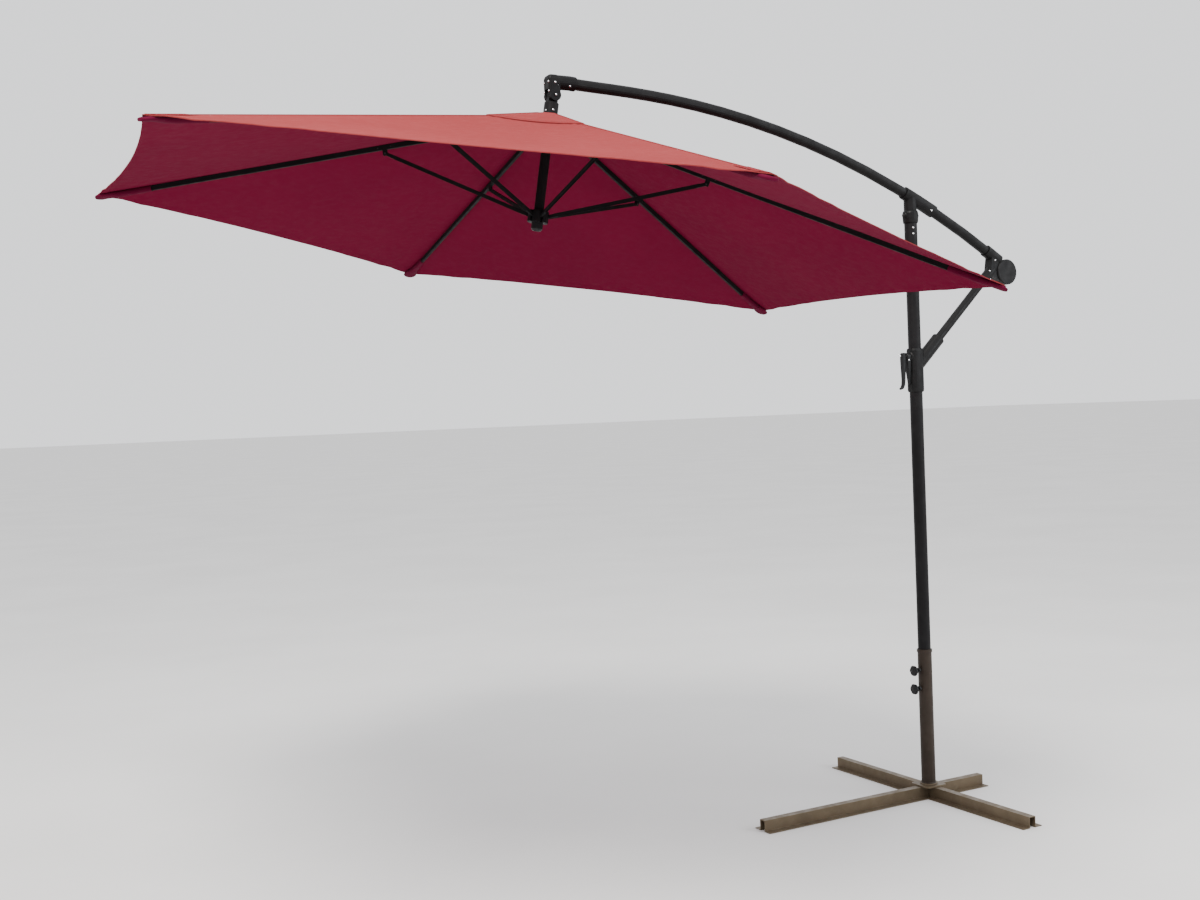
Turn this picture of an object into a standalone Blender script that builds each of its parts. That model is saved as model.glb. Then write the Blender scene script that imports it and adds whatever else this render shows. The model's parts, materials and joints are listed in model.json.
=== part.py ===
"""Cantilever patio umbrella on a steel cross base.

Metres, +Z up.  The mast axis is the Z axis, the floor is z = 0, the arm lies in
the XZ plane and carries the canopy on the -X side.
"""
import math

import bmesh
import bpy
from mathutils import Matrix, Vector

for _obj in list(bpy.data.objects):
    bpy.data.objects.remove(_obj, do_unlink=True)

# ---------------------------------------------------------------- clearances
GAP = 0.0003            # between parts that touch in the real object
SLIP = 0.0004           # radial, tube in socket
RUN = 0.0003            # radial, turning shaft in its hole
ROUND = 28              # sides of a large round part
SMALL_ROUND = 16        # sides of a small round part

# ---------------------------------------------------------------- cross base
LEG_REACH = {"front": 0.778, "rear": 0.262, "left": 0.535, "right": 0.525}
LEG_TURN = {"front": math.pi, "rear": 0.0, "left": math.pi / 2, "right": -math.pi / 2}
SHEET = 0.003           # leg sheet thickness
LEG_HEIGHT = 0.040
LEG_BOX = 0.015         # half width of the raised box
LEG_FLANGE = 0.045      # half width over the flanges
PLATE_HALF = 0.049
PLATE_THICK = 0.005
PLATE_CUT = 0.010

# ---------------------------------------------------------------- mast
MAST_R = 0.024
MAST_WALL = 0.0015
MAST_TOP = 2.205
MAST_SPLIT = MAST_TOP - 0.605
BASE_TUBE_WALL = 0.002
BASE_TUBE_R = MAST_R + 0.0005 + BASE_TUBE_WALL
BASE_TUBE_TOP = 0.5570
COLLAR_WALL = 0.0020
COLLAR_DROP = 0.007
COLLAR_LIP = 0.0045
KNOB_HEIGHTS = {"upper": 0.483, "lower": 0.413}
KNOB_R = 0.0205
KNOB_HEAD = 0.016       # head thickness
KNOB_REACH = 0.011      # bare stem between nut and head
STEM_R = 0.004
NUT_FLAT = 0.0085
NUT_LENGTH = 0.008

# ---------------------------------------------------------------- crank
HOUSING_HALF = MAST_R + 0.0035
HOUSING_CORNER = 0.020
HOUSING_LOW = MAST_TOP - 0.665
HOUSING_HIGH = MAST_TOP - 0.500
CRANK_Z = MAST_TOP - 0.530
SPINDLE_R = 0.005
DRUM_R = 0.010
DRUM_HALF = 0.012
BEZEL_THICK = 0.017        # at the spindle; thinner towards the tail
BEZEL_TAIL_THICK = 0.005
BEZEL_R = 0.014
BOSS_R = 0.016
BEZEL_TAIL = 0.100
HANDLE_DROP = 0.122
HANDLE_HALF_WIDTH = 0.009
HANDLE_THICK = 0.018

# ---------------------------------------------------------------- arm and brace
ARM_R = 0.019
ARM_WALL = 0.0013
ARM_TIP = Vector((-1.440, 0.0, MAST_TOP + 0.385))
ARM_REAR = Vector((0.425, 0.0, MAST_TOP - 0.150))
ARM_TIP_ANGLE = math.radians(-6.0)
ARM_TIP_HANDLE = 0.20
ARM_REAR_ANGLE = math.radians(-31.0)
ARM_REAR_HANDLE = 1.10
ARM_RINGS = 18
SLEEVE_WALL = 0.005
SLEEVE_SPAN = (-0.030, 0.112)
NECK_LENGTH = 0.085
CAP_RISE = 0.020         # mast cap above and below the end of the mast
CAP_SKIRT = 0.027
CLAMP_HALF = MAST_R + 0.009
BRACE_R = 0.016
BRACE_WALL = 0.0013
BRACE_Z0 = MAST_TOP - 0.574        # where the brace line meets the mast axis
BRACE_ANGLE = math.radians(42.9)
BRACE_LOW = 0.062       # distances along the brace line from the mast axis
BRACE_HIGH = 0.532
BRACE_MOUTH = 0.162
BRACE_SOCKET_R = 0.0245
REAR_CENTRE = Vector((0.467, 0.0, MAST_TOP - 0.206))
REAR_R = 0.050
REAR_HALF = ARM_R + 0.007
REAR_WALL = 0.003
WEB_HALF = ARM_R
REAR_PULLEY_R = 0.034

# ---------------------------------------------------------------- elbow
PIN = Vector((-1.503, 0.0, MAST_TOP + 0.340))
PIN_R = 0.004
EAR_R = 0.020
EAR_SLOT = 0.0105
ELBOW_R = 0.0235
EAR_HALF = ELBOW_R        # half width over both ears
ELBOW_MOUTH_X = -1.421
ELBOW_PULLEY_R = 0.012
ELBOW_PULLEY_HALF = 0.004

# ---------------------------------------------------------------- canopy
RIBS = 6
CANOPY_R = 1.50         # fabric corner, measured square to the canopy axis
RIB_SLOPE = math.radians(15.07)
TILT = math.radians(8.82)
ROLL = math.radians(2.58)
SPIN = math.radians(-35.07)
PIVOT_R = 0.030
PIVOT_DROP = 0.083      # rib pivots below the tilt pin
RIB_HALF_W = 0.005
RIB_HALF_H = 0.008
RIB_WALL = 0.001
RIB_END_GAP = 0.070     # fabric pocket beyond the rib end
LUG_AT = 0.525
LUG_DROP = 0.020
STRUT_HALF_W = 0.004
STRUT_HALF_H = 0.006
TONGUE_HALF = 0.003
TONGUE_R = 0.0055
CROWN_R = 0.040
CROWN_HALF = 0.0095
CROWN_DISC = 0.004
RUNNER_R = 0.034
RUNNER_UP = 0.016
RUNNER_DOWN = 0.022
DOCK_R = 0.016
DOCK_WALL = 0.0015
FABRIC = 0.0012
FABRIC_LIFT = 0.0014
VENT_R = 0.300
VENT_INNER = 0.029
VENT_GAP = 0.008
VENT_TOP = 0.020
PANEL_START = 0.100     # distance along the rib where the main fabric begins
HEM_DIP = 0.070
HEM_STEPS = 5

INK = (0.035, 0.034, 0.035, 1.0)
WARM_INK = (0.050, 0.046, 0.043, 1.0)
BRONZE = (0.120, 0.095, 0.070, 1.0)
BLACK = (0.012, 0.012, 0.013, 1.0)
ZINC = (0.45, 0.45, 0.45, 1.0)
CORAL = (0.480, 0.085, 0.090, 1.0)
CRIMSON = (0.300, 0.030, 0.045, 1.0)
CORD = (0.55, 0.55, 0.52, 1.0)

Y_AXIS = Vector((0.0, 1.0, 0.0))
Z_AXIS = Vector((0.0, 0.0, 1.0))


def material(name, colour, metallic, roughness):
    mat = bpy.data.materials.new(name)
    mat.use_nodes = True
    shader = mat.node_tree.nodes["Principled BSDF"]
    shader.inputs["Base Color"].default_value = colour
    shader.inputs["Metallic"].default_value = metallic
    shader.inputs["Roughness"].default_value = roughness
    mat.diffuse_color = colour
    return mat


def finish(name, bm, colour, smooth=False, metallic=0.3, roughness=0.5):
    """Turn a bmesh into one named object with its own material."""
    bmesh.ops.remove_doubles(bm, verts=bm.verts, dist=0.00001)
    bmesh.ops.dissolve_degenerate(bm, edges=bm.edges, dist=0.00001)
    bmesh.ops.recalc_face_normals(bm, faces=bm.faces)
    mesh = bpy.data.meshes.new(name)
    bm.to_mesh(mesh)
    bm.free()
    obj = bpy.data.objects.new(name, mesh)
    bpy.context.scene.collection.objects.link(obj)
    mesh.materials.append(material(name, colour, metallic, roughness))
    if smooth:
        mesh.shade_smooth()
        mesh.set_sharp_from_angle(angle=math.radians(40))
    return obj


def loft(rings, closed=False):
    """Skin a list of equal rings; a closed loft joins the last ring to the first."""
    bm = bmesh.new()
    loops = [[bm.verts.new(p) for p in ring] for ring in rings]
    pairs = list(zip(loops, loops[1:]))
    if closed:
        pairs.append((loops[-1], loops[0]))
    for low, high in pairs:
        count = len(low)
        for i in range(count):
            j = (i + 1) % count
            bm.faces.new((low[i], low[j], high[j], high[i]))
    if not closed:
        bm.faces.new(loops[0])
        bm.faces.new(loops[-1])
    return bm


def circle(centre, u, v, radius, count):
    steps = [2.0 * math.pi * i / count for i in range(count)]
    return [centre + u * radius * math.cos(a) + v * radius * math.sin(a) for a in steps]


def lathe(profile, origin, axis, count=ROUND, closed=False):
    """Turn (radius, height) pairs about an axis through the origin."""
    axis = axis.normalized()
    side = Vector((1.0, 0.0, 0.0)) if abs(axis.x) < 0.9 else Y_AXIS
    v = axis.cross(side).normalized()
    u = v.cross(axis)
    rings = [circle(origin + axis * h, u, v, r, count) for r, h in profile]
    return loft(rings, closed)


def pipe(start, end, outer, inner, count=ROUND):
    axis = end - start
    length = axis.length
    profile = [(outer, 0.0), (outer, length), (inner, length), (inner, 0.0)]
    return lathe(profile, start, axis, count, True)


def rod(start, end, radius, count=SMALL_ROUND):
    axis = end - start
    return lathe([(radius, 0.0), (radius, axis.length)], start, axis, count)


def path_rings(points, radius, count, stretch=1.0):
    """Rings square to a path that stays in one plane of constant y."""
    rings = []
    for i, point in enumerate(points):
        before = points[max(i - 1, 0)]
        after = points[min(i + 1, len(points) - 1)]
        along = (after - before).normalized()
        across = along.cross(Y_AXIS).normalized()
        size = radius[i] if isinstance(radius, list) else radius
        rings.append(circle(point, across * stretch, Y_AXIS, size, count))
    return rings


def bent_bar(points, radius, count=ROUND):
    return loft(path_rings(points, radius, count))


def bent_pipe(points, outer, inner, count=ROUND):
    rings = path_rings(points, outer, count)
    rings += reversed(path_rings(points, inner, count))
    return loft(rings, True)


def block(low, high, place=None):
    x0, y0, z0 = low
    x1, y1, z1 = high
    rings = []
    for z in (z0, z1):
        corners = [(x0, y0), (x1, y0), (x1, y1), (x0, y1)]
        ring = [Vector((x, y, z)) for x, y in corners]
        rings.append([place @ p for p in ring] if place else ring)
    return loft(rings)


def prism(outline, low, high, place=None):
    rings = []
    for z in (low, high):
        ring = [Vector((x, y, z)) for x, y in outline]
        rings.append([place @ p for p in ring] if place else ring)
    return loft(rings)


def combine(target, tool_mesh, operation):
    """Exact Boolean of a finished object with a bmesh tool, then drop the tool."""
    tool = finish("cutter", tool_mesh, BLACK)
    tool.hide_render = True
    tool.display_type = "WIRE"
    mod = target.modifiers.new("cut", "BOOLEAN")
    mod.operation = operation
    mod.solver = "EXACT"
    mod.object = tool
    graph = bpy.context.evaluated_depsgraph_get()
    shaped = bpy.data.meshes.new_from_object(target.evaluated_get(graph))
    target.modifiers.clear()
    old = target.data
    name = old.name
    keep = old.materials[0]
    target.data = shaped
    bpy.data.meshes.remove(old)
    shaped.name = name
    shaped.materials.clear()
    shaped.materials.append(keep)
    for face in shaped.polygons:
        face.material_index = 0
    bpy.data.objects.remove(tool, do_unlink=True)


def cut(target, tool_mesh):
    combine(target, tool_mesh, "DIFFERENCE")


def join(target, tool_mesh):
    combine(target, tool_mesh, "UNION")


# ================================================================ cross base
def leg(side):
    """Hat section bent from sheet, inner end mitred so four legs meet at the centre."""
    inner = LEG_BOX - SHEET
    lid = LEG_HEIGHT - SHEET
    outline = [(-LEG_FLANGE, 0.0), (-inner, 0.0), (-inner, lid), (0.0, lid)]
    outline += [(inner, lid), (inner, 0.0), (LEG_FLANGE, 0.0), (LEG_FLANGE, SHEET)]
    outline += [(LEG_BOX, SHEET), (LEG_BOX, LEG_HEIGHT), (0.0, LEG_HEIGHT)]
    outline += [(-LEG_BOX, LEG_HEIGHT), (-LEG_BOX, SHEET), (-LEG_FLANGE, SHEET)]
    turn = Matrix.Rotation(LEG_TURN[side], 3, "Z")
    near = [turn @ Vector((abs(v) + GAP, v, z)) for v, z in outline]
    far = [turn @ Vector((LEG_REACH[side], v, z)) for v, z in outline]
    return finish("leg_" + side, loft([near, far]), BRONZE)


for _side in LEG_REACH:
    leg(_side)

_block_half = LEG_BOX - SHEET - GAP
_block_top = LEG_HEIGHT - SHEET - GAP
finish("centre_block", block((-_block_half, -_block_half, 0.0),
                             (_block_half, _block_half, _block_top)), BRONZE)

PLATE_LOW = LEG_HEIGHT + GAP
PLATE_HIGH = PLATE_LOW + PLATE_THICK
_in = PLATE_HALF - PLATE_CUT
_corners = [(PLATE_HALF, _in), (_in, PLATE_HALF), (-_in, PLATE_HALF), (-PLATE_HALF, _in)]
_corners += [(-PLATE_HALF, -_in), (-_in, -PLATE_HALF), (_in, -PLATE_HALF), (PLATE_HALF, -_in)]
finish("top_plate", prism(_corners, PLATE_LOW, PLATE_HIGH), BRONZE)

TUBE_FOOT = PLATE_HIGH + GAP
_bore = BASE_TUBE_R - BASE_TUBE_WALL
_bead = 0.0045
_profile = [(BASE_TUBE_R + _bead, TUBE_FOOT), (BASE_TUBE_R + _bead, TUBE_FOOT + 0.0015)]
_profile += [(BASE_TUBE_R + 0.001, TUBE_FOOT + 0.006), (BASE_TUBE_R, TUBE_FOOT + 0.008)]
_profile += [(BASE_TUBE_R, BASE_TUBE_TOP), (_bore, BASE_TUBE_TOP), (_bore, TUBE_FOOT)]
base_tube = finish("base_tube", lathe(_profile, Vector(), Z_AXIS, ROUND, True), BRONZE, True)

_cap_in = BASE_TUBE_R + GAP
_cap_out = _cap_in + COLLAR_WALL
_lip = BASE_TUBE_TOP + GAP
_profile = [(_cap_out, BASE_TUBE_TOP - COLLAR_DROP), (_cap_out, _lip + COLLAR_LIP - 0.002)]
_profile += [(_cap_out - 0.002, _lip + COLLAR_LIP), (MAST_R + GAP, _lip + COLLAR_LIP)]
_profile += [(MAST_R + GAP, _lip), (_cap_in, _lip), (_cap_in, BASE_TUBE_TOP - COLLAR_DROP)]
finish("tube_collar", lathe(_profile, Vector(), Z_AXIS, ROUND, True), BLACK, True)

MINUS_X = Vector((-1.0, 0.0, 0.0))
NUT_START = BASE_TUBE_R + GAP
NUT_END = NUT_START + NUT_LENGTH
HEAD_START = NUT_END + KNOB_REACH


def knob(which, height):
    """Lobed clamp knob whose stem runs through a welded nut and the tube wall."""
    centre = Vector((0.0, 0.0, height))
    hole = STEM_R + RUN
    cut(base_tube, rod(centre + MINUS_X * (_bore - 0.004), centre + MINUS_X * NUT_END, hole))
    corner = NUT_FLAT / math.cos(math.pi / 6)
    rings = []
    for reach, radius in ((NUT_START, corner), (NUT_END, corner), (NUT_END, hole),
                          (NUT_START, hole)):
        spot = centre + MINUS_X * reach
        rings.append(circle(spot, Y_AXIS, Z_AXIS, radius, 12))
    for ring in rings[:2]:
        for i in range(1, 12, 2):
            ring[i] = (ring[i - 1] + ring[(i + 1) % 12]) / 2
    finish("nut_" + which, loft(rings, True), BRONZE)
    count = 30
    profile = [(STEM_R, MAST_R + GAP), (STEM_R, HEAD_START), (0.010, HEAD_START)]
    profile += [(0.013, HEAD_START + 0.004), (KNOB_R - 0.001, HEAD_START + 0.006)]
    profile += [(KNOB_R, HEAD_START + 0.009), (KNOB_R, HEAD_START + KNOB_HEAD - 0.004)]
    profile += [(KNOB_R - 0.004, HEAD_START + KNOB_HEAD)]
    rings = []
    for radius, reach in profile:
        wave = 0.07 if radius > 0.014 else 0.0
        ring = []
        for i in range(count):
            angle = 2.0 * math.pi * i / count
            size = radius * (1.0 + wave * (math.cos(6 * angle) - 1.0) / 2.0)
            spot = centre + MINUS_X * reach
            ring.append(spot + Y_AXIS * size * math.cos(angle) + Z_AXIS * size * math.sin(angle))
        rings.append(ring)
    obj = finish("knob_" + which, loft(rings), BLACK, True, 0.0, 0.45)
    return obj


for _which, _height in KNOB_HEIGHTS.items():
    knob(_which, _height)

# ================================================================ mast
MAST_BORE = MAST_R - MAST_WALL
finish("mast_lower", pipe(Vector((0, 0, PLATE_HIGH + 2 * GAP)), Vector((0, 0, MAST_SPLIT - GAP)),
                          MAST_R, MAST_BORE), WARM_INK, True)
mast_upper = finish("mast_upper", pipe(Vector((0, 0, MAST_SPLIT)), Vector((0, 0, MAST_TOP)),
                                       MAST_R, MAST_BORE), WARM_INK, True)
JOINER_R = MAST_BORE - SLIP
finish("mast_joiner", pipe(Vector((0, 0, MAST_SPLIT - 0.10)), Vector((0, 0, MAST_SPLIT + 0.05)),
                           JOINER_R, JOINER_R - 0.0015, 20), ZINC, True)

# ---------------------------------------------------------------- crank housing
BRACE_DIR = Vector((math.cos(BRACE_ANGLE), 0.0, math.sin(BRACE_ANGLE)))
BRACE_ORIGIN = Vector((0.0, 0.0, BRACE_Z0))


def brace_point(distance):
    return BRACE_ORIGIN + BRACE_DIR * distance


def rounded_square(half, corner, steps):
    outline = []
    inner = half - corner
    for quarter in range(4):
        cx = inner if quarter in (0, 3) else -inner
        cy = inner if quarter in (0, 1) else -inner
        for k in range(steps + 1):
            a = math.pi / 2 * (quarter + k / steps)
            outline.append((cx + corner * math.cos(a), cy + corner * math.sin(a)))
    return outline


def scaled(outline, factor):
    return [(x * factor, y * factor) for x, y in outline]


_square = rounded_square(HOUSING_HALF, HOUSING_CORNER, 4)
_rings = []
for _z, _k in ((HOUSING_LOW, 0.90), (HOUSING_LOW + 0.004, 0.97), (HOUSING_LOW + 0.010, 1.0),
               (HOUSING_HIGH - 0.008, 1.0), (HOUSING_HIGH, 0.92)):
    _rings.append([Vector((x, y, _z)) for x, y in scaled(_square, _k)])
housing = finish("crank_housing", loft(_rings), INK, True)
join(housing, rod(brace_point(0.0), brace_point(BRACE_MOUTH), BRACE_SOCKET_R, 24))
_crank = Vector((0.0, 0.0, CRANK_Z))
BOSS_FACE = HOUSING_HALF + 0.003
join(housing, lathe([(BOSS_R + 0.004, MAST_R - 0.004), (BOSS_R + 0.004, HOUSING_HALF - 0.001),
                     (BOSS_R, BOSS_FACE)], _crank, MINUS_X, 24))
cut(housing, rod(Vector((0, 0, HOUSING_LOW - 0.02)), Vector((0, 0, HOUSING_HIGH + 0.06)),
                 MAST_R + SLIP, ROUND))
cut(housing, rod(brace_point(BRACE_LOW - 0.001), brace_point(BRACE_MOUTH + 0.01),
                 BRACE_R + SLIP, 24))
_hole = SPINDLE_R + RUN
cut(housing, rod(_crank + MINUS_X * 0.020, _crank + MINUS_X * (BOSS_FACE + 0.01), _hole))
cut(mast_upper, rod(_crank + MINUS_X * 0.016, _crank + MINUS_X * (MAST_R + 0.004), _hole))

BEZEL_FACE = BOSS_FACE + GAP


def teardrop(depth, grow):
    """Round at the spindle, tapering down to a small round tail; its face slants in."""
    ring = []
    for i in range(20):
        a = 2.0 * math.pi * i / 20
        radius = (BEZEL_R if math.sin(a) > -0.4 else BEZEL_R * 0.5) - grow
        drop = 0.0 if math.sin(a) > -0.4 else BEZEL_TAIL
        down = BEZEL_R + drop - radius * math.sin(a)
        lean = (BEZEL_THICK - BEZEL_TAIL_THICK) * down / (BEZEL_TAIL + 1.5 * BEZEL_R)
        reach = BEZEL_FACE + max(0.0, depth - (lean if depth else 0.0))
        spot = _crank + MINUS_X * reach - Z_AXIS * drop
        ring.append(spot + Y_AXIS * radius * math.cos(a) + Z_AXIS * radius * math.sin(a))
    return ring


_rings = [teardrop(0.0, 0.0), teardrop(BEZEL_THICK - 0.002, 0.0), teardrop(BEZEL_THICK, 0.002)]
bezel = finish("crank_bezel", loft(_rings), BLACK, True, 0.0, 0.5)
cut(bezel, rod(_crank + MINUS_X * 0.02, _crank + MINUS_X * 0.09, _hole))

HANDLE_FACE = BEZEL_FACE + BEZEL_THICK + 0.002
_profile = [(DRUM_R * 0.6, -DRUM_HALF), (DRUM_R, -DRUM_HALF + 0.002), (DRUM_R, -DRUM_HALF + 0.004)]
_profile += [(DRUM_R * 0.7, -DRUM_HALF + 0.005), (DRUM_R * 0.7, DRUM_HALF - 0.005)]
_profile += [(DRUM_R, DRUM_HALF - 0.004), (DRUM_R, DRUM_HALF - 0.001)]
_profile += [(SPINDLE_R, DRUM_HALF), (SPINDLE_R, HANDLE_FACE - GAP)]
finish("crank_spindle", lathe(_profile, _crank, MINUS_X, SMALL_ROUND), ZINC, True)

_stem = HANDLE_FACE + HANDLE_THICK / 2
_path = [(0.0, 0.014, 0.70, 0.55), (0.0, 0.010, 0.95, 0.90), (0.0, -0.012, 1.0, 1.0)]
_path += [(0.0, -0.035, 0.90, 0.95), (0.001, -0.062, 0.82, 0.74), (0.001, -0.088, 0.78, 0.60)]
_path += [(0.003, -0.106, 0.80, 0.54), (0.009, 0.004 - HANDLE_DROP, 0.78, 0.48)]
_path += [(0.018, -HANDLE_DROP, 0.60, 0.36)]
_rings = []
_spots = [_crank + MINUS_X * (_stem + reach) + Z_AXIS * drop for reach, drop, _, _ in _path]
for _i, _spot in enumerate(_spots):
    _along = (_spots[min(_i + 1, len(_spots) - 1)] - _spots[max(_i - 1, 0)]).normalized()
    _across = _along.cross(Y_AXIS).normalized()
    _wide = HANDLE_HALF_WIDTH * _path[_i][2]
    _thick = HANDLE_THICK / 2 * _path[_i][3]
    _ring = []
    for _k in range(12):
        _a = 2.0 * math.pi * (_k + 0.5) / 12
        _c = max(-0.85, min(0.85, math.cos(_a))) / 0.85
        _s = max(-0.75, min(0.75, math.sin(_a))) / 0.75
        _ring.append(_spot + Y_AXIS * _wide * _c + _across * _thick * _s)
    _rings.append(_ring)
finish("crank_handle", loft(_rings), BLACK, True, 0.0, 0.4)

# ================================================================ arm
_h0 = Vector((math.cos(ARM_TIP_ANGLE), 0.0, math.sin(ARM_TIP_ANGLE))) * ARM_TIP_HANDLE
_h1 = Vector((math.cos(ARM_REAR_ANGLE), 0.0, math.sin(ARM_REAR_ANGLE))) * ARM_REAR_HANDLE


def arm_point(t):
    """Point on the arm centreline, t = 0 at the canopy end."""
    s = 1.0 - t
    a = ARM_TIP * s ** 3
    b = (ARM_TIP + _h0) * 3 * s * s * t
    c = (ARM_REAR - _h1) * 3 * s * t * t
    return a + b + c + ARM_REAR * t ** 3


def arm_at_x(x):
    low, high = 0.0, 1.0
    for _ in range(50):
        mid = (low + high) / 2
        if arm_point(mid).x < x:
            low = mid
        else:
            high = mid
    return low


def arm_run(t0, t1, count):
    return [arm_point(t0 + (t1 - t0) * i / (count - 1)) for i in range(count)]


_arm_path = arm_run(0.0, 1.0, ARM_RINGS)
ARM_SIDES = 20
finish("arm_tube", bent_pipe(_arm_path, ARM_R, ARM_R - ARM_WALL, ARM_SIDES), INK, True)


def arm_bore(x_low, x_high, pad_tip=0.0, pad_rear=0.0):
    """Solid a slip fit larger than the arm, on the same rings, for cutting sockets."""
    rings = path_rings(_arm_path, ARM_R + SLIP, ARM_SIDES)
    first = max([i for i, p in enumerate(_arm_path) if p.x < x_low], default=0)
    last = min([i for i, p in enumerate(_arm_path) if p.x > x_high], default=ARM_RINGS - 1)
    chosen = rings[first:last + 1]
    if pad_tip:
        way = (_arm_path[0] - _arm_path[1]).normalized() * pad_tip
        chosen = [[p + way for p in chosen[0]]] + chosen
    if pad_rear:
        way = (_arm_path[-1] - _arm_path[-2]).normalized() * pad_rear
        chosen = chosen + [[p + way for p in chosen[-1]]]
    return loft(chosen)

_t0 = arm_at_x(SLEEVE_SPAN[0])
_t1 = arm_at_x(SLEEVE_SPAN[1])
_run = arm_run(_t0, _t1, 6)
SOCKET_R = ARM_R + SLIP + SLEEVE_WALL
NECK_R = MAST_BORE - SLIP
arm_sleeve = finish("arm_sleeve", bent_bar(_run, SOCKET_R, 24), INK, True)
_neck_top = arm_point(arm_at_x(0.0)).z
join(arm_sleeve, rod(Vector((0, 0, MAST_TOP - NECK_LENGTH)), Vector((0, 0, _neck_top)),
                     NECK_R, 24))
join(arm_sleeve, rod(Vector((0, 0, MAST_TOP + CAP_RISE + GAP)), Vector((0, 0, _neck_top)),
                     SOCKET_R - 0.0005, 24))
cut(arm_sleeve, rod(Vector((0, 0, MAST_TOP - NECK_LENGTH - 0.01)),
                    Vector((0, 0, _neck_top - 0.015)), NECK_R - 0.003, 24))
cut(arm_sleeve, arm_bore(SLEEVE_SPAN[0] - 0.01, SLEEVE_SPAN[1] + 0.01))

_cap_r = MAST_R + SLIP
_cap_top = MAST_TOP + CAP_RISE
_profile = [(_cap_r + 0.0026, MAST_TOP - CAP_SKIRT), (_cap_r + 0.0036, MAST_TOP - CAP_SKIRT + 0.003)]
_profile += [(_cap_r + 0.0050, MAST_TOP - 0.008), (_cap_r + 0.0050, MAST_TOP + 0.010)]
_profile += [(_cap_r + 0.0030, _cap_top - 0.003), (_cap_r, _cap_top)]
mast_cap = finish("mast_cap", lathe(_profile, Vector(), Z_AXIS, ROUND), INK, True)
_clamp = Vector((0.0, 0.0, MAST_TOP + 0.002))
_boss = [(0.0095, -CLAMP_HALF), (0.0120, 0.003 - CLAMP_HALF), (0.0120, CLAMP_HALF - 0.003)]
_boss += [(0.0095, CLAMP_HALF)]
join(mast_cap, lathe(_boss, _clamp, MINUS_X, 20))
cut(mast_cap, rod(Vector((0, 0, MAST_TOP - CAP_SKIRT - 0.01)), Vector((0, 0, MAST_TOP + GAP)),
                  _cap_r, ROUND))
cut(mast_cap, rod(Vector((0, 0, MAST_TOP - 0.01)), Vector((0, 0, _cap_top + 0.01)),
                  NECK_R + SLIP, ROUND))

finish("brace_tube", pipe(brace_point(BRACE_LOW), brace_point(BRACE_HIGH), BRACE_R,
                          BRACE_R - BRACE_WALL, 20), INK, True)

# ---------------------------------------------------------------- rear fitting
_drum = [(REAR_R - 0.003, -REAR_HALF), (REAR_R, -REAR_HALF + 0.003), (REAR_R, REAR_HALF)]
rear = finish("rear_housing", lathe(_drum, REAR_CENTRE, Y_AXIS, ROUND), INK, True)
_arm_end = arm_point(1.0)
_arm_way = (arm_point(1.0) - arm_point(0.985)).normalized()
_s0 = arm_at_x(ARM_REAR.x - 0.048)
_arm_end_run = arm_run(_s0, 1.0, 4) + [_arm_end + _arm_way * 0.02]
join(rear, bent_bar(_arm_end_run, ARM_R + SLIP + 0.0042, 24))
join(rear, rod(brace_point(BRACE_HIGH - 0.045), brace_point(BRACE_HIGH + 0.030),
               BRACE_R + SLIP + 0.0042, 24))
_web = [(-0.072, 0.061), (-0.022, 0.044), (0.0, 0.0), (-0.036, -0.034), (-0.084, -0.014)]
_web = [(REAR_CENTRE.x + x, REAR_CENTRE.z + z) for x, z in _web]
join(rear, prism(_web, -WEB_HALF, WEB_HALF, Matrix.Rotation(math.pi / 2, 4, "X")))
cut(rear, lathe([(REAR_R - REAR_WALL, -REAR_HALF + REAR_WALL), (REAR_R - REAR_WALL, REAR_HALF + 0.01)],
                REAR_CENTRE, Y_AXIS, ROUND))
cut(rear, arm_bore(ARM_REAR.x - 0.06, ARM_REAR.x, 0.0, 0.002))
cut(rear, rod(brace_point(BRACE_HIGH - 0.06), brace_point(BRACE_HIGH + 0.002),
              BRACE_R + SLIP, 24))
cut(rear, rod(_arm_end - _arm_way * 0.010, _arm_end + _arm_way * 0.036, 0.008, 12))
_profile = [(PIN_R, -REAR_HALF + REAR_WALL + GAP), (PIN_R, REAR_HALF + GAP), (REAR_R, REAR_HALF + GAP)]
_profile += [(REAR_R, REAR_HALF + 0.003), (REAR_R - 0.003, REAR_HALF + 0.0045)]
finish("rear_cover", lathe(_profile, REAR_CENTRE, Y_AXIS, ROUND), INK, True)


def pulley(name, centre, radius, half):
    """Grooved wheel on a pin along Y."""
    hub = PIN_R + RUN
    profile = [(radius, -half), (radius, -half + 0.001), (radius - 0.003, 0.0)]
    profile += [(radius, half - 0.001), (radius, half), (hub, half), (hub, -half)]
    return finish(name, lathe(profile, centre, Y_AXIS, 24, True), ZINC, True)


pulley("rear_pulley", REAR_CENTRE, REAR_PULLEY_R, 0.005)

# ---------------------------------------------------------------- elbow
_mouth = arm_point(0.0)
_elbow_path = [arm_point(arm_at_x(ELBOW_MOUTH_X)), _mouth]
_elbow_path += [Vector((PIN.x + reach, 0, _mouth.z)) for reach in (0.033, 0.004)]
elbow = finish("elbow", bent_bar(_elbow_path, ELBOW_R, 24), INK, True)
_square = rounded_square(EAR_HALF, 0.009, 4)
_rings = []
for _z, _k in ((PIN.z, 1.0), (_mouth.z + 0.008, 1.0), (_mouth.z + 0.017, 0.86),
               (_mouth.z + 0.0215, 0.62)):
    _rings.append([Vector((PIN.x + x * 0.92, y, _z)) for x, y in scaled(_square, _k)])
join(elbow, loft(_rings))
_ear = Vector((PIN.x, EAR_HALF, PIN.z))
join(elbow, rod(_ear - Y_AXIS * EAR_HALF * 2, _ear, EAR_R, 24))
cut(elbow, arm_bore(_mouth.x, ELBOW_MOUTH_X + 0.02, 0.001, 0.0))
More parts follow.
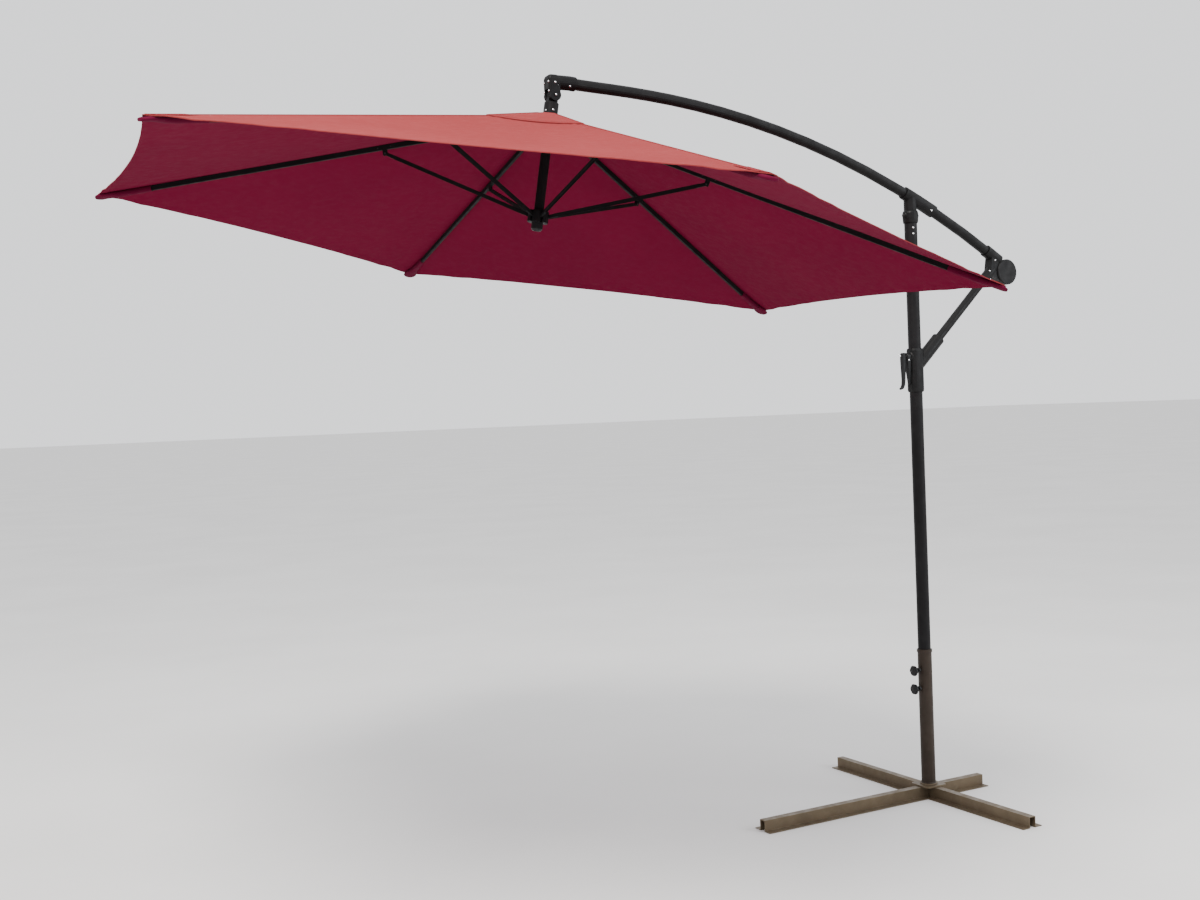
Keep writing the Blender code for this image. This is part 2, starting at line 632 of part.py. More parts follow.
cut(elbow, block((PIN.x - EAR_R - 0.01, -EAR_SLOT, PIN.z - 0.03),
                 (PIN.x + EAR_R + 0.01, EAR_SLOT, PIN.z + 0.0195)))
_pulley_at = Vector((PIN.x + ELBOW_PULLEY_R, 0.0, _mouth.z - ELBOW_PULLEY_R))
cut(elbow, block((PIN.x - 0.008, -0.0065, PIN.z), (_mouth.x + 0.01, 0.0065, _mouth.z + 0.006)))
cut(elbow, rod(PIN - Y_AXIS * 0.03, PIN + Y_AXIS * 0.03, PIN_R + RUN))
cut(elbow, rod(_pulley_at - Y_AXIS * 0.03, _pulley_at + Y_AXIS * 0.03, 0.003 + RUN, 12))
_under, _over = EAR_HALF + GAP, EAR_HALF + 0.002
_head = [(0.0065, -_over), (0.0065, -_under), (PIN_R, -_under), (PIN_R, _under)]
_head += [(0.0065, _under), (0.0065, _over)]
finish("tilt_pin", lathe(_head, PIN, Y_AXIS, SMALL_ROUND), ZINC, True)
_axle = [(0.003, -0.018), (0.003, 0.018)]
finish("pulley_axle", lathe(_axle, _pulley_at, Y_AXIS, 12), ZINC, True)
_groove = [(ELBOW_PULLEY_R, -ELBOW_PULLEY_HALF), (ELBOW_PULLEY_R, -ELBOW_PULLEY_HALF + 0.001)]
_groove += [(ELBOW_PULLEY_R - 0.003, 0.0), (ELBOW_PULLEY_R, ELBOW_PULLEY_HALF - 0.001)]
_groove += [(ELBOW_PULLEY_R, ELBOW_PULLEY_HALF), (0.003 + RUN, ELBOW_PULLEY_HALF)]
_groove += [(0.003 + RUN, -ELBOW_PULLEY_HALF)]
finish("elbow_pulley", lathe(_groove, _pulley_at, Y_AXIS, 16, True), ZINC, True)

_cord_path = [p - Vector((0, 0, 0.004)) for p in arm_run(0.03, 0.97, 10)]
finish("lift_cord", bent_bar(_cord_path, 0.0025, 8), CORD, True, 0.0, 0.8)

# ================================================================ canopy frame
TILTED = Matrix.Rotation(TILT, 4, "Y")
HANGING = TILTED @ Matrix.Rotation(ROLL, 4, "X")
CENTRE = PIN - (HANGING @ Vector((0.0, 0.0, PIVOT_DROP)))
PLACE = Matrix.Translation(CENTRE) @ HANGING @ Matrix.Rotation(SPIN, 4, "Z")
UP = (HANGING @ Z_AXIS).normalized()
LUG_LENGTH = math.hypot(LUG_AT, LUG_DROP)
LUG_ANGLE = RIB_SLOPE + math.atan2(LUG_DROP, LUG_AT)
RUNNER_Z = -2.0 * LUG_LENGTH * math.sin(LUG_ANGLE)
TIP_AT = (CANOPY_R - PIVOT_R) / math.cos(RIB_SLOPE)
RIB_END = TIP_AT - RIB_END_GAP


def notched(radius, floor, half, z, full=False):
    """Star outline with one radial slot per rib, in the canopy frame."""
    ring = []
    for k in range(RIBS):
        turn = Matrix.Rotation(2.0 * math.pi * k / RIBS, 3, "Z")
        side = math.asin(half / radius)
        inset = radius if full else floor
        ring.append(turn @ Vector((radius * math.cos(side), -half, z)))
        ring.append(turn @ Vector((inset * (math.cos(side) if full else 1.0), -half, z)))
        ring.append(turn @ Vector((inset * (math.cos(side) if full else 1.0), half, z)))
        ring.append(turn @ Vector((radius * math.cos(side), half, z)))
        for step in (1, 2, 3):
            a = side + (math.pi / 3 - 2 * side) * step / 4
            ring.append(turn @ Vector((radius * math.cos(a), radius * math.sin(a), z)))
    return [PLACE @ p for p in ring]


def bore_ring(radius, z):
    ring = []
    for k in range(RIBS):
        for step in range(7):
            a = 2.0 * math.pi * (k + (step - 1.5) / 7.0) / RIBS
            ring.append(PLACE @ Vector((radius * math.cos(a), radius * math.sin(a), z)))
    return ring


_slot = TONGUE_HALF + 0.0007
_floor = PIVOT_R - TONGUE_R - 0.002
_rings = [notched(CROWN_R, _floor, _slot, -CROWN_HALF), notched(CROWN_R, _floor, _slot, CROWN_HALF)]
_rings += [notched(CROWN_R, _floor, _slot, CROWN_HALF + 0.0002, True)]
_rings += [notched(CROWN_R, _floor, _slot, CROWN_HALF + CROWN_DISC, True)]
_rings += [bore_ring(0.008, CROWN_HALF + CROWN_DISC), bore_ring(0.008, -CROWN_HALF)]
finish("crown_hub", loft(_rings, True), INK)

_low = RUNNER_Z - RUNNER_DOWN
_high = RUNNER_Z + RUNNER_UP
_rings = [notched(RUNNER_R, _floor, _slot, _low), notched(RUNNER_R, _floor, _slot, _high)]
_rings += [bore_ring(DOCK_R + RUN, _high), bore_ring(DOCK_R + RUN, _low)]
finish("runner_hub", loft(_rings, True), INK)


def hung(z):
    return PLACE @ Vector((0.0, 0.0, z))


finish("docking_tube", pipe(hung(_low - 0.018), hung(-CROWN_HALF - 0.004), DOCK_R,
                            DOCK_R - DOCK_WALL, 20), INK, True)
_drop = -UP
_profile = [(DOCK_R + RUN, 0.0), (DOCK_R + 0.003, 0.0), (DOCK_R + 0.003, 0.020)]
_profile += [(DOCK_R - 0.002, 0.026), (DOCK_R - 0.006, 0.026), (DOCK_R - 0.006, 0.0185)]
_profile += [(DOCK_R + RUN, 0.0185)]
finish("runner_cap", lathe(_profile, hung(_low - GAP), _drop, 20, True), BLACK, True, 0.0, 0.5)

# The swivel socket: tongue square to the tilt pin, round body square to the canopy.
_socket_top = PIVOT_DROP - EAR_R - 0.002
_socket_low = CROWN_HALF + CROWN_DISC + GAP
_profile = [(0.027, _socket_low), (0.027, _socket_low + 0.004), (0.0240, _socket_low + 0.005)]
_profile += [(0.0240, _socket_top - 0.003), (0.0215, _socket_top)]
_at = hung(0.0)
socket = finish("tilt_socket", lathe(_profile, _at, UP, 24), INK, True)
_tongue = Matrix.Translation(PIN) @ TILTED
_half = EAR_SLOT - 0.001
join(socket, block((-0.0165, -_half, -EAR_R - 0.012), (0.0165, _half, 0.0), _tongue))
join(socket, rod(PIN - Y_AXIS * _half, PIN + Y_AXIS * _half, 0.0175, 24))
cut(socket, rod(PIN - Y_AXIS * 0.03, PIN + Y_AXIS * 0.03, PIN_R + RUN))


class Spoke:
    """Axes of one rib: along it, square to it, and sideways."""

    def __init__(self, index):
        angle = 2.0 * math.pi * index / RIBS
        turn = PLACE.to_3x3() @ Matrix.Rotation(angle, 3, "Z")
        self.radial = turn @ Vector((1.0, 0.0, 0.0))
        self.side = turn @ Vector((0.0, 1.0, 0.0))
        self.pivot = CENTRE + self.radial * PIVOT_R
        down = -UP
        self.along = self.radial * math.cos(RIB_SLOPE) + down * math.sin(RIB_SLOPE)
        self.normal = self.radial * math.sin(RIB_SLOPE) - down * math.cos(RIB_SLOPE)

    def at(self, along, side, height):
        return self.pivot + self.along * along + self.side * side + self.normal * height

    def frame(self):
        rows = Matrix((self.along, self.side, self.normal)).transposed()
        return Matrix.Translation(self.pivot) @ rows.to_4x4()


SPOKES = [Spoke(k) for k in range(RIBS)]


def rectangle(spoke, along, half_w, half_h):
    corners = [(-half_w, -half_h), (half_w, -half_h), (half_w, half_h), (-half_w, half_h)]
    return [spoke.at(along, side, height) for side, height in corners]


def rib(index):
    """Rectangular tube on a flat tongue, with a two-ear lug for its strut."""
    spoke = SPOKES[index]
    start = 0.020
    rings = [rectangle(spoke, -TONGUE_R, TONGUE_HALF, TONGUE_R * 0.45)]
    rings += [rectangle(spoke, -TONGUE_R * 0.5, TONGUE_HALF, TONGUE_R * 0.87)]
    rings += [rectangle(spoke, 0.0, TONGUE_HALF, TONGUE_R)]
    rings += [rectangle(spoke, start, TONGUE_HALF, TONGUE_R)]
    rings += [rectangle(spoke, start + 0.0005, RIB_HALF_W, RIB_HALF_H)]
    rings += [rectangle(spoke, RIB_END, RIB_HALF_W, RIB_HALF_H)]
    rings += [rectangle(spoke, RIB_END, RIB_HALF_W - RIB_WALL, RIB_HALF_H - RIB_WALL)]
    rings += [rectangle(spoke, start + 0.004, RIB_HALF_W - RIB_WALL, RIB_HALF_H - RIB_WALL)]
    obj = finish("rib_%d" % (index + 1), loft(rings), INK)
    place = spoke.frame()
    ear = LUG_AT + TONGUE_R + 0.002
    back = LUG_AT - TONGUE_R - 0.002
    bottom = -LUG_DROP - TONGUE_R - 0.001
    join(obj, block((back, -RIB_HALF_W, bottom), (ear, RIB_HALF_W, -RIB_HALF_H + 0.0005), place))
    slot = TONGUE_HALF + 0.0005
    cut(obj, block((back - 0.01, -slot, bottom - 0.01), (ear + 0.01, slot, -RIB_HALF_H - 0.0008), place))
    return obj


def strut(index):
    """Channel bar from the rib lug down to the runner, with flat rounded ends."""
    spoke = SPOKES[index]
    top = spoke.at(LUG_AT, 0.0, -LUG_DROP)
    bottom = CENTRE + spoke.radial * PIVOT_R + UP * RUNNER_Z
    along = (bottom - top).normalized()
    normal = along.cross(spoke.side).normalized()
    if normal.dot(UP) < 0:
        normal = -normal
    length = (bottom - top).length

    def section(at, half_w, half_h):
        corners = [(-half_w, -half_h), (half_w, -half_h), (half_w, half_h), (-half_w, half_h)]
        return [top + along * at + spoke.side * s + normal * h for s, h in corners]

    ends = [(-TONGUE_R, TONGUE_HALF, TONGUE_R * 0.45), (-TONGUE_R * 0.5, TONGUE_HALF, TONGUE_R * 0.87)]
    ends += [(0.0, TONGUE_HALF, TONGUE_R), (0.020, TONGUE_HALF, TONGUE_R)]
    ends += [(0.024, STRUT_HALF_W, STRUT_HALF_H)]
    rings = [section(*end) for end in ends]
    rings += [section(length - at, w, h) for at, w, h in reversed(ends)]
    obj = finish("strut_%d" % (index + 1), loft(rings), INK)
    rows = Matrix((along, spoke.side, along.cross(spoke.side))).transposed()
    place = Matrix.Translation(top) @ rows.to_4x4()
    lift = 1.0 if along.cross(spoke.side).dot(UP) > 0 else -1.0
    low, high = sorted((-lift * 0.02, lift * (STRUT_HALF_H - 0.0012)))
    wall = STRUT_HALF_W - 0.0012
    cut(obj, block((0.034, -wall, low), (length - 0.034, wall, high), place))
    return obj


def skin_point(index, way, along, share, height):
    """Point of the fabric between a rib top line and the middle of the next panel."""
    here = SPOKES[index].at(along, 0.0, height)
    there = SPOKES[(index + way) % RIBS].at(along, 0.0, height)
    half = (there - here) / 2
    limit = 1.0 - GAP / max(half.length * math.cos(math.pi / 6), 0.001)
    return here + half * min(share, limit)


def kite(name, index, inner, outer, dip, height, inner_height, colour):
    """Fabric of one rib: two flat half panels that meet along the rib."""
    spread = [k / HEM_STEPS for k in range(HEM_STEPS, 0, -1)]
    columns = [(-1, s) for s in spread] + [(1, 0.0)] + [(1, s) for s in reversed(spread)]
    rows = []
    for way, share in columns:
        sag = dip / (math.cos(math.pi / 6) * math.cos(RIB_SLOPE))
        reach = outer - sag * (1.0 - (1.0 - share) ** 2)
        a = skin_point(index, way, inner, share, inner_height)
        b = skin_point(index, way, reach, share, height)
        rows.append((a, b))
    lift = SPOKES[index].normal * FABRIC
    bm = bmesh.new()
    grid = []
    for a, b in rows:
        grid.append([bm.verts.new(p) for p in (a, b, b + lift, a + lift)])
    for left, right in zip(grid, grid[1:]):
        for i in range(4):
            j = (i + 1) % 4
            bm.faces.new((left[i], left[j], right[j], right[i]))
    bm.faces.new(grid[0])
    bm.faces.new(grid[-1])
    return finish(name, bm, colour, False, 0.0, 0.9)


SKIN = RIB_HALF_H + FABRIC_LIFT
VENT_AT = (VENT_R - PIVOT_R) / math.cos(RIB_SLOPE)
for _k in range(RIBS):
    rib(_k)
    strut(_k)
    kite("canopy_panel_%d" % (_k + 1), _k, PANEL_START, TIP_AT, HEM_DIP, SKIN, SKIN, CRIMSON)
    kite("vent_panel_%d" % (_k + 1), _k, VENT_INNER - PIVOT_R, VENT_AT, 0.006,
         SKIN + VENT_GAP, VENT_TOP, CORAL)
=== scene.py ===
"""Looks of the cantilever patio umbrella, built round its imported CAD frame."""
import json
import math

import bpy
from mathutils import Matrix, Vector, noise
from mathutils.bvhtree import BVHTree

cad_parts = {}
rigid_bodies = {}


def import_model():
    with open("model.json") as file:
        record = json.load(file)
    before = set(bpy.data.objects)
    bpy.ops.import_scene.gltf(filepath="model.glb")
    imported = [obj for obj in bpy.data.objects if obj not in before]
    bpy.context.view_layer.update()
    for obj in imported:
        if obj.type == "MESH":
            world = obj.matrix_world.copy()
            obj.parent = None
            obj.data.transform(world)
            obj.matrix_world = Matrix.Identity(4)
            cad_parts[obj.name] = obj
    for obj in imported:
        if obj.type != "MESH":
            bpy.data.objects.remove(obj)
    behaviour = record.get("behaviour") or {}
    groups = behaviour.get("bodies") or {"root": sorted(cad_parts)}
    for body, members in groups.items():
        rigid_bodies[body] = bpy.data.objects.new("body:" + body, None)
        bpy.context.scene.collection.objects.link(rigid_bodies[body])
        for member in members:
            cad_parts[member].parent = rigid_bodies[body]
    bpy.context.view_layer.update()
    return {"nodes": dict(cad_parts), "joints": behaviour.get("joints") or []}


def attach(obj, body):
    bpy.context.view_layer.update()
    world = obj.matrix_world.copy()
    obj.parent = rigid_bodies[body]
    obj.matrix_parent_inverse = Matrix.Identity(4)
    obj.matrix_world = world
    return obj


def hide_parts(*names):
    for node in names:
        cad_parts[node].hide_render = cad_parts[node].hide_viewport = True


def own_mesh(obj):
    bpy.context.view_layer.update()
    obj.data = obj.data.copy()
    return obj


for _obj in list(bpy.data.objects):
    bpy.data.objects.remove(_obj, do_unlink=True)

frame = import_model()
NODES = frame["nodes"]
JOINTS = {j["name"]: j for j in frame["joints"]}
SCENE = bpy.context.scene

# ------------------------------------------------------------------ camera
EYE = Vector((-3.6158, -4.0622, 1.5133))
YAW, PITCH, ROLL = 0.50357, -0.02764, -0.03884
LENS_SHARE = 1397.0 / 1200.0     # fitted focal length over the picture's width, in pixels
SENSOR_MM = 36.0

forward = Vector((math.sin(YAW) * math.cos(PITCH), math.cos(YAW) * math.cos(PITCH),
                  math.sin(PITCH)))
right = Vector((math.cos(YAW), -math.sin(YAW), 0.0))
upward = right.cross(forward)
cam_x = right * math.cos(ROLL) + upward * math.sin(ROLL)
cam_y = upward * math.cos(ROLL) - right * math.sin(ROLL)
camera = bpy.data.objects.new("camera", bpy.data.cameras.new("camera"))
SCENE.collection.objects.link(camera)
camera.matrix_world = Matrix((cam_x, cam_y, -forward)).transposed().to_4x4()
camera.matrix_world.translation = EYE
camera.data.sensor_width = SENSOR_MM
camera.data.lens = SENSOR_MM * LENS_SHARE
camera.data.clip_end = 600.0
SCENE.camera = camera


# ------------------------------------------------------------------ materials
class Paint:
    """A small node graph round one Principled shader."""

    def __init__(self, name, colour, roughness, metallic=0.0, specular=0.5):
        self.mat = bpy.data.materials.new(name)
        self.mat.use_nodes = True
        self.tree = self.mat.node_tree
        self.shader = self.tree.nodes["Principled BSDF"]
        self.shader.inputs["Base Color"].default_value = (*colour, 1.0)
        self.shader.inputs["Roughness"].default_value = roughness
        self.shader.inputs["Metallic"].default_value = metallic
        self.shader.inputs["Specular IOR Level"].default_value = specular
        self.space = self.node("ShaderNodeTexCoord").outputs["Object"]

    def node(self, kind, **settings):
        made = self.tree.nodes.new(kind)
        for key, value in settings.items():
            if key in made.inputs:
                made.inputs[key].default_value = value
            else:
                setattr(made, key, value)
        return made

    def link(self, out, into):
        self.tree.links.new(out, into)

    def noise(self, scale, detail=3.0, rough=0.55, space=None, stretch=None):
        made = self.node("ShaderNodeTexNoise", Scale=scale, Detail=detail, Roughness=rough)
        source = space or self.space
        if stretch:
            mapping = self.node("ShaderNodeMapping")
            mapping.inputs["Scale"].default_value = stretch
            self.link(source, mapping.inputs["Vector"])
            source = mapping.outputs["Vector"]
        self.link(source, made.inputs["Vector"])
        return made.outputs["Fac"]

    def ramp(self, source, low, high, at=(0.35, 0.65)):
        made = self.node("ShaderNodeMapRange")
        made.inputs["From Min"].default_value = at[0]
        made.inputs["From Max"].default_value = at[1]
        made.inputs["To Min"].default_value = low
        made.inputs["To Max"].default_value = high
        self.link(source, made.inputs["Value"])
        return made.outputs["Result"]

    def mix(self, share, first, second):
        made = self.node("ShaderNodeMix", data_type="RGBA")
        if isinstance(share, float):
            made.inputs[0].default_value = share
        else:
            self.link(share, made.inputs[0])
        for socket, value in ((made.inputs[6], first), (made.inputs[7], second)):
            if isinstance(value, tuple):
                socket.default_value = (*value, 1.0)
            else:
                self.link(value, socket)
        return made.outputs[2]

    def math(self, operation, first, second):
        made = self.node("ShaderNodeMath", operation=operation)
        for socket, value in ((made.inputs[0], first), (made.inputs[1], second)):
            if isinstance(value, (int, float)):
                socket.default_value = value
            else:
                self.link(value, socket)
        return made.outputs[0]

    def bump(self, height, strength, distance, under=None):
        made = self.node("ShaderNodeBump", Strength=strength, Distance=distance)
        self.link(height, made.inputs["Height"])
        if under is not None:
            self.link(under, made.inputs["Normal"])
        return made.outputs["Normal"]

    def put(self, name, source):
        self.link(source, self.shader.inputs[name])


def shade(colour, factor):
    return tuple(min(1.0, c * factor) for c in colour)


def coated(name, colour, dust, roughness=0.44, metallic=0.25, gloss=0.28):
    """Powder coat: orange-peel bump, cloudy tone, faint dust and fine scuffs."""
    p = Paint(name, colour, roughness, metallic, gloss)
    cloud = p.ramp(p.noise(9.0, 4.0), 0.0, 1.0)
    base = p.mix(cloud, shade(colour, 0.88), shade(colour, 1.14))
    film = p.ramp(p.noise(26.0, 6.0, 0.7), 0.0, 0.13, (0.50, 0.78))
    base = p.mix(film, base, dust)
    scuff = p.ramp(p.noise(60.0, 8.0, 0.75, stretch=(1.0, 1.0, 0.12)), 0.0, 0.22, (0.68, 0.76))
    base = p.mix(scuff, base, shade(dust, 1.25))
    p.put("Base Color", base)
    p.put("Roughness", p.ramp(p.noise(34.0, 5.0), roughness - 0.07, roughness + 0.14))
    peel = p.bump(p.noise(900.0, 2.0), 0.18, 0.0004)
    p.put("Normal", p.bump(p.noise(70.0, 4.0), 0.06, 0.001, peel))
    return p.mat


def moulded(name, colour, roughness=0.48, gloss=0.22):
    """Injection-moulded plastic with a fine spark-eroded grain."""
    p = Paint(name, colour, roughness, 0.0, gloss)
    base = p.mix(p.ramp(p.noise(18.0, 4.0), 0.0, 1.0), shade(colour, 0.8), shade(colour, 1.35))
    chalk = p.ramp(p.noise(45.0, 6.0, 0.7), 0.0, 0.14, (0.55, 0.8))
    p.put("Base Color", p.mix(chalk, base, (0.08, 0.08, 0.08)))
    p.put("Roughness", p.ramp(p.noise(50.0, 4.0), roughness - 0.08, roughness + 0.12))
    p.put("Normal", p.bump(p.noise(1400.0, 2.0), 0.25, 0.0003))
    return p.mat


def plated(name, colour, roughness=0.32):
    """Zinc-plated steel with turned marks and dull patches."""
    p = Paint(name, colour, roughness, 1.0)
    base = p.mix(p.ramp(p.noise(70.0, 5.0), 0.0, 1.0), shade(colour, 0.75), shade(colour, 1.15))
    p.put("Base Color", base)
    p.put("Roughness", p.ramp(p.noise(120.0, 4.0), roughness - 0.08, roughness + 0.18))
    p.put("Normal", p.bump(p.noise(500.0, 2.0, stretch=(1.0, 1.0, 6.0)), 0.15, 0.0003))
    return p.mat


def cloth(name, colour, fade, seam=True, through=0.0, gloss=0.05):
    """Woven polyester: warp and weft bump in real size, lighter yarns partly painted highlight, sun
    fade, creases, stitch rows.
    """
    p = Paint(name, colour, 0.82, 0.0, gloss)
    uv = p.node("ShaderNodeUVMap", uv_map="cloth").outputs["UV"]
    threads = []
    for turn in (0.0, math.pi / 2):
        wave = p.node("ShaderNodeTexWave", wave_type="BANDS", bands_direction="X", Scale=260.0,
                      Distortion=0.6, Detail=2.0)
        wave.inputs["Detail Scale"].default_value = 1.5
        mapping = p.node("ShaderNodeMapping")
        mapping.inputs["Rotation"].default_value = (0.0, 0.0, turn)
        p.link(uv, mapping.inputs["Vector"])
        p.link(mapping.outputs["Vector"], wave.inputs["Vector"])
        threads.append(wave.outputs["Fac"])
    weave = p.math("MULTIPLY", threads[0], threads[1])
    warp = p.noise(420.0, 3.0, 0.6, uv, (1.0, 0.08, 1.0))
    weft = p.noise(420.0, 3.0, 0.6, uv, (0.08, 1.0, 1.0))
    yarn = p.math("ADD", p.math("MULTIPLY", warp, 0.5), p.math("MULTIPLY", weft, 0.5))
    patch = p.ramp(p.noise(2.4, 5.0, 0.6), 0.0, 1.0)
    base = p.mix(patch, colour, fade)
    # Lighter raised yarns: partly yarn tone, partly painted highlight on the yarn tops.
    base = p.mix(p.ramp(yarn, 0.0, 0.40, (0.40, 0.62)), base, shade(colour, 1.18))
    base = p.mix(p.ramp(weave, 0.0, 0.30, (0.0, 0.6)), base, shade(colour, 0.7))
    dirt = p.ramp(p.noise(14.0, 7.0, 0.7), 0.0, 0.16, (0.55, 0.8))
    base = p.mix(dirt, base, shade(fade, 0.55))
    height = p.math("ADD", weave, p.math("MULTIPLY", yarn, 0.6))
    normal = p.bump(height, 0.35, 0.0006)
    if seam:
        rows = p.node("ShaderNodeAttribute", attribute_name="stitch").outputs["Fac"]
        base = p.mix(p.ramp(rows, 0.0, 0.5, (0.2, 0.9)), base, shade(colour, 0.55))
        normal = p.bump(rows, 0.6, -0.0015, normal)
    normal = p.bump(p.noise(7.0, 3.0, 0.5), 0.25, 0.012, normal)
    p.put("Base Color", base)
    p.put("Normal", normal)
    p.put("Roughness", p.ramp(p.noise(40.0, 4.0), 0.74, 0.92))
    if through:
        glow = p.node("ShaderNodeBsdfTranslucent")
        glow.inputs["Color"].default_value = (*shade(colour, 1.3), 1.0)
        blend = p.node("ShaderNodeMixShader")
        blend.inputs[0].default_value = through
        out = p.tree.nodes["Material Output"]
        p.link(p.shader.outputs[0], blend.inputs[1])
        p.link(glow.outputs[0], blend.inputs[2])
        p.link(blend.outputs[0], out.inputs["Surface"])
    return p.mat


DUST = (0.042, 0.040, 0.039)
CHARCOAL = coated("charcoal coat", (0.0058, 0.0056, 0.0059), DUST, 0.46, 0.1, 0.14)
RIB_COAT = coated("rib coat", (0.0060, 0.0058, 0.0062), (0.040, 0.038, 0.038), 0.66, 0.0, 0.10)
MAST_GREY = coated("mast coat", (0.0066, 0.0060, 0.0066), (0.040, 0.037, 0.036), 0.46, 0.1, 0.13)
CASTING = coated("casting coat", (0.0052, 0.0050, 0.0056), DUST, 0.5, 0.1, 0.12)
BRONZE = coated("bronze coat", (0.118, 0.088, 0.055), (0.34, 0.29, 0.21), 0.44, 0.45)
TUBE_BROWN = coated("tube coat", (0.0270, 0.0185, 0.0130), (0.11, 0.090, 0.070), 0.46, 0.15, 0.20)
BLACK = moulded("black plastic", (0.0045, 0.0045, 0.0052))
STEM = moulded("black oxide", (0.012, 0.0115, 0.0115), 0.4)
ZINC = plated("zinc plate", (0.62, 0.62, 0.63))
BRIGHT = plated("bright rivet", (0.86, 0.86, 0.87), 0.22)
WHEEL = moulded("pulley nylon", (0.35, 0.35, 0.34), 0.4)
CORD = moulded("cord braid", (0.5, 0.5, 0.47), 0.9)
TOP_CLOTH = cloth("canopy top", (0.238, 0.0340, 0.0350), (0.266, 0.0430, 0.0440), through=0.12)
# The underside is the same fabric as the top, given a darker, bluer colour: painted shade of the
# canopy's shaded underside.
SHADED_UNDER_CLOTH = cloth("canopy underside painted shade", (0.122, 0.0030, 0.0228), (0.134, 0.0037, 0.0248),
                    through=0.10, gloss=0.03)
# The rib pockets are canopy fabric given a very dark colour: painted shade of the shade under the
# canopy.
SHADED_POCKET_CLOTH = cloth("pocket cloth painted shade", (0.080, 0.0026, 0.0190), (0.092, 0.0034, 0.0210), seam=False)
CORNER_CLOTH = cloth("corner cloth", (0.185, 0.0190, 0.0230), (0.205, 0.0240, 0.0270))
SEAM_CLOTH = cloth("seam tape", (0.215, 0.0290, 0.0300), (0.240, 0.0370, 0.0380))

WELD_GAP = 0.00001               # vertices closer than this are one
BEVEL_ANGLE = math.radians(38)   # sharper edges are broken


def dress(name, mat, bevel=0.0):
    """Give a carried-over CAD node its material and softly broken edges."""
    obj = NODES[name]
    obj.data.materials.clear()
    obj.data.materials.append(mat)
    if bevel:
        weld = obj.modifiers.new("weld", "WELD")
        weld.merge_threshold = WELD_GAP
        edge = obj.modifiers.new("edge", "BEVEL")
        edge.width = bevel
        edge.segments = 2
        edge.limit_method = "ANGLE"
        edge.angle_limit = BEVEL_ANGLE
        edge.harden_normals = True


for _name, _mat, _bevel in (
    ("leg_front", BRONZE, 0.0009), ("leg_rear", BRONZE, 0.0009), ("leg_left", BRONZE, 0.0009),
    ("leg_right", BRONZE, 0.0009), ("centre_block", BRONZE, 0.0), ("top_plate", BRONZE, 0.001),
    ("base_tube", TUBE_BROWN, 0.0), ("nut_upper", STEM, 0.0006), ("nut_lower", STEM, 0.0006),
    ("tube_collar", TUBE_BROWN, 0.0), ("knob_upper", BLACK, 0.0), ("knob_lower", BLACK, 0.0),
    ("mast_lower", MAST_GREY, 0.0), ("mast_upper", MAST_GREY, 0.0), ("mast_joiner", ZINC, 0.0),
    ("crank_housing", CHARCOAL, 0.0), ("crank_bezel", BLACK, 0.0), ("crank_handle", BLACK, 0.0),
    ("crank_spindle", ZINC, 0.0), ("brace_tube", CHARCOAL, 0.0), ("arm_tube", CHARCOAL, 0.0),
    ("arm_sleeve", CHARCOAL, 0.0), ("mast_cap", CHARCOAL, 0.0), ("rear_housing", CHARCOAL, 0.0),
    ("rear_cover", CHARCOAL, 0.0), ("rear_pulley", WHEEL, 0.0), ("elbow", CASTING, 0.0),
    ("elbow_pulley", WHEEL, 0.0), ("tilt_pin", CASTING, 0.0), ("pulley_axle", ZINC, 0.0),
    ("lift_cord", CORD, 0.0), ("tilt_socket", CASTING, 0.0), ("crown_hub", CASTING, 0.0008),
    ("runner_hub", CASTING, 0.0008), ("docking_tube", CHARCOAL, 0.0), ("runner_cap", BLACK, 0.0),
):
    dress(_name, _mat, _bevel)
for _k in range(1, 7):
    dress("rib_%d" % _k, RIB_COAT, 0.0006)
    dress("strut_%d" % _k, RIB_COAT, 0.0006)


# ------------------------------------------------------------------ mesh helpers
def new_object(name, verts, faces, mats, smooth=True):
    """Mesh object from points and faces, linked to the scene."""
    mesh = bpy.data.meshes.new(name)
    mesh.from_pydata([tuple(v) for v in verts], [], faces)
    mesh.update()
    obj = bpy.data.objects.new(name, mesh)
    SCENE.collection.objects.link(obj)
    for mat in mats:
        mesh.materials.append(mat)
    if smooth:
        mesh.shade_smooth()
    return obj


def frame_of(axis):
    """Unit axis and two unit directions square to it."""
    axis = axis.normalized()
    side = Vector((0.0, 0.0, 1.0)) if abs(axis.z) < 0.9 else Vector((1.0, 0.0, 0.0))
    u = axis.cross(side).normalized()
    return axis, u, axis.cross(u)


def turned(name, spots, profile, mat, count=16):
    """Copies of one turned profile, (radius, height) pairs, at each (point, axis)."""
    verts, faces = [], []
    for point, axis in spots:
        axis, u, v = frame_of(axis)
        start = len(verts)
        for radius, height in profile:
            for i in range(count):
                a = 2.0 * math.pi * i / count
                verts.append(point + axis * height + (u * math.cos(a) + v * math.sin(a)) * radius)
        for r in range(len(profile) - 1):
            for i in range(count):
                j = (i + 1) % count
                low, high = start + r * count, start + (r + 1) * count
                faces.append((low + i, low + j, high + j, high + i))
        faces.append(tuple(start + i for i in reversed(range(count))))
        last = start + (len(profile) - 1) * count
        faces.append(tuple(last + i for i in range(count)))
    obj = new_object(name, verts, faces, [mat])
    obj.data.set_sharp_from_angle(angle=math.radians(50))
    return obj


def dome(radius, height):
    """Profile of a round rivet head."""
    steps = 5
    profile = [(radius * 0.98, -0.0006), (radius, 0.0)]
    for i in range(1, steps):
        a = math.pi / 2 * i / steps
        profile.append((radius * math.cos(a), height * math.sin(a)))
    return profile + [(radius * 0.12, height)]


def screw_head(radius, height):
    """Profile of a pan head with a round sunk middle."""
    profile = [(radius * 0.98, -0.0006), (radius, 0.0), (radius * 0.97, height * 0.6)]
    return profile + [(radius * 0.80, height), (radius * 0.42, height * 1.02),
                      (radius * 0.38, height * 0.45)]


_skins = {}
SEAT_REACH = 0.06    # a head is seated from this far outside its given point


